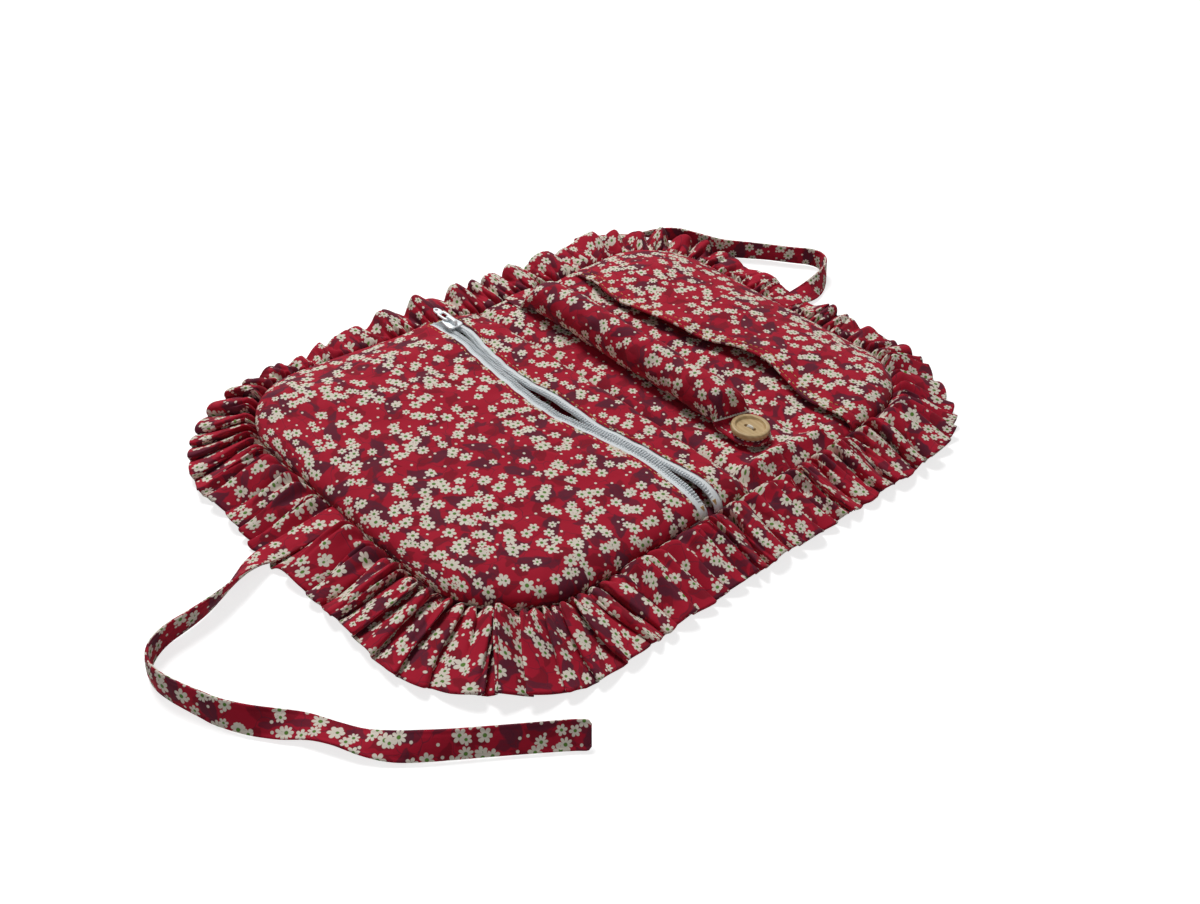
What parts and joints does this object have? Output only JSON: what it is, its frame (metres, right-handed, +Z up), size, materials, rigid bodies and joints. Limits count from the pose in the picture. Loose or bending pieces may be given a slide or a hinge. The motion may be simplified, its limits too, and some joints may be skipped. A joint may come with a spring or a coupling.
{
  "type": "jewelry pouch",
  "caption": "Padded fabric jewelry pouch, lying open: ruffled quilted pad that folds shut, with a zip pocket, a buttoned ring roll, a slip pocket and a tie at each end.",
  "frame": {"origin": "middle of the underside of the open pouch, ties left out", "axes": "+X from the zip pocket to the slip pocket, +Y along the zip towards its open slider, +Z up"},
  "size_m": [0.4845, 0.3112, 0.0287],
  "materials": {
    "print_cotton": "fine plain-weave cotton with a small floral print",
    "wadding": "polyester wadding",
    "zip_tape": "woven polyester tape",
    "zip_coil": "nylon coil",
    "gold_thread": "sewing thread",
    "white_thread": "sewing thread",
    "slider_enamel": "white enamel on zinc",
    "stud_steel": "plated press stud",
    "button_wood": "oiled pale wood"
  },
  "bodies": {
    "spine": {"spine_outer_cover": "print_cotton", "spine_batting": "wadding", "spine_lining": "print_cotton", "ring_roll_anchor": "print_cotton", "press_stud_socket": "stud_steel", "ruffle_spine_far": "print_cotton", "ruffle_spine_near": "print_cotton"},
    "front_half": {"front_outer_cover": "print_cotton", "front_batting": "wadding", "front_lining": "print_cotton", "zip_panel": "print_cotton", "zip_strip": "print_cotton", "zip_tape_front": "zip_tape", "zip_tape_rear": "zip_tape", "zip_coil_front": "zip_coil", "zip_coil_rear": "zip_coil", "zip_bartack_far": "gold_thread", "zip_bartack_near": "gold_thread", "ruffle_front": "print_cotton", "tie_front": "print_cotton"},
    "back_half": {"back_outer_cover": "print_cotton", "back_batting": "wadding", "back_lining": "print_cotton", "slip_pocket_panel": "print_cotton", "ruffle_back": "print_cotton", "tie_back": "print_cotton"},
    "ring_roll": {"ring_roll_cover": "print_cotton", "ring_roll_stuffing": "wadding", "ring_roll_tab": "print_cotton", "ring_roll_end_stitch": "white_thread", "press_stud_ball": "stud_steel", "button": "button_wood", "button_thread": "white_thread"},
    "zip_slider": {"zip_slider": "slider_enamel"},
    "zip_pull": {"zip_pull": "slider_enamel"}
  },
  "joints": [
    {"name": "front_fold", "type": "hinge", "parent": "spine", "child": "front_half", "pos_m": [0.01657, 0, 0.0074], "axis": [0, 1, 0], "range_deg": [0, 90]},
    {"name": "back_fold", "type": "hinge", "parent": "spine", "child": "back_half", "pos_m": [0.07357, 0, 0.0074], "axis": [0, -1, 0], "range_deg": [0, 90]},
    {"name": "ring_roll_lift", "type": "hinge", "parent": "spine", "child": "ring_roll", "pos_m": [0.04507, 0.09323, 0.0097], "axis": [-1, 0, 0], "range_deg": [0, 75]},
    {"name": "slider_slide", "type": "slide", "parent": "front_half", "child": "zip_slider", "axis": [0, -1, 0], "range_m": [0, 0.168]},
    {"name": "pull_swing", "type": "hinge", "parent": "zip_slider", "child": "zip_pull", "pos_m": [-0.01443, 0.09547, 0.019], "axis": [1, 0, 0], "range_deg": [0, 170]}
  ]
}
